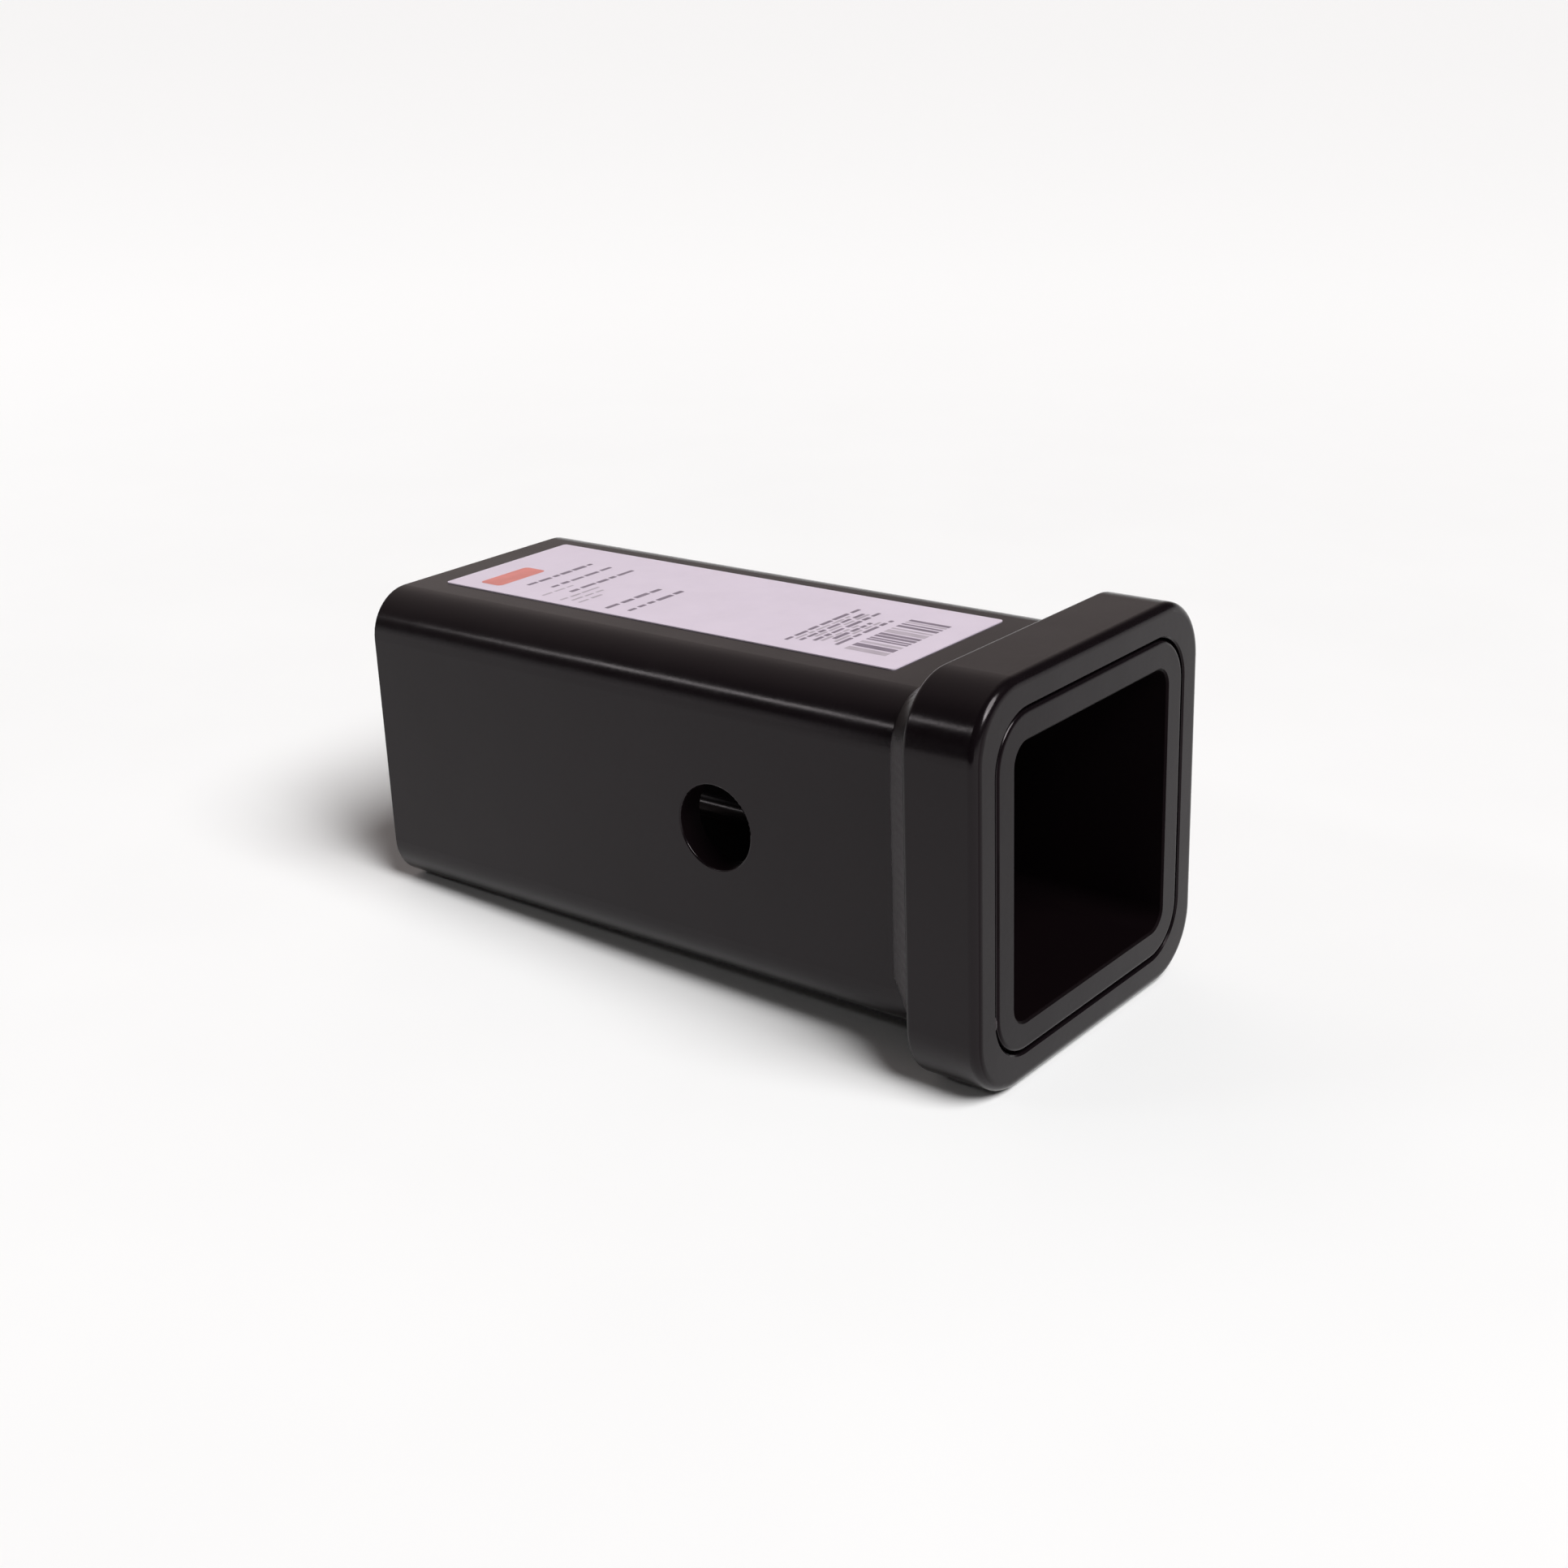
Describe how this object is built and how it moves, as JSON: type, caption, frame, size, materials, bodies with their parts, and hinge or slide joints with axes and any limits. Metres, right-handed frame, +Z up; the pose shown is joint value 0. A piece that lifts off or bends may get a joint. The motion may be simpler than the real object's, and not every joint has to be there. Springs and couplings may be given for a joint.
{
  "type": "hitch receiver tube",
  "caption": "Short square steel receiver tube with rounded corners, a cross hole for a hitch pin, a welded reinforcement collar around its mouth and a paper label on top.",
  "frame": {"origin": "centre of the mouth, on the front plane of tube and collar", "axes": "+Y along the tube from the mouth to the rear end, +Z up through the labelled flat, +X across along the pin hole"},
  "size_m": [0.0762, 0.1524, 0.0762],
  "materials": {
    "powder_coat": "satin-gloss black powder coat on steel",
    "weld_coat": "satin-gloss black powder coat over the weld bead",
    "label_paper": "smooth printed paper sticker"
  },
  "bodies": {
    "root": {"receiver_tube": "powder_coat", "reinforcement_collar": "powder_coat", "collar_weld": "weld_coat", "label": "label_paper"}
  },
  "joints": []
}
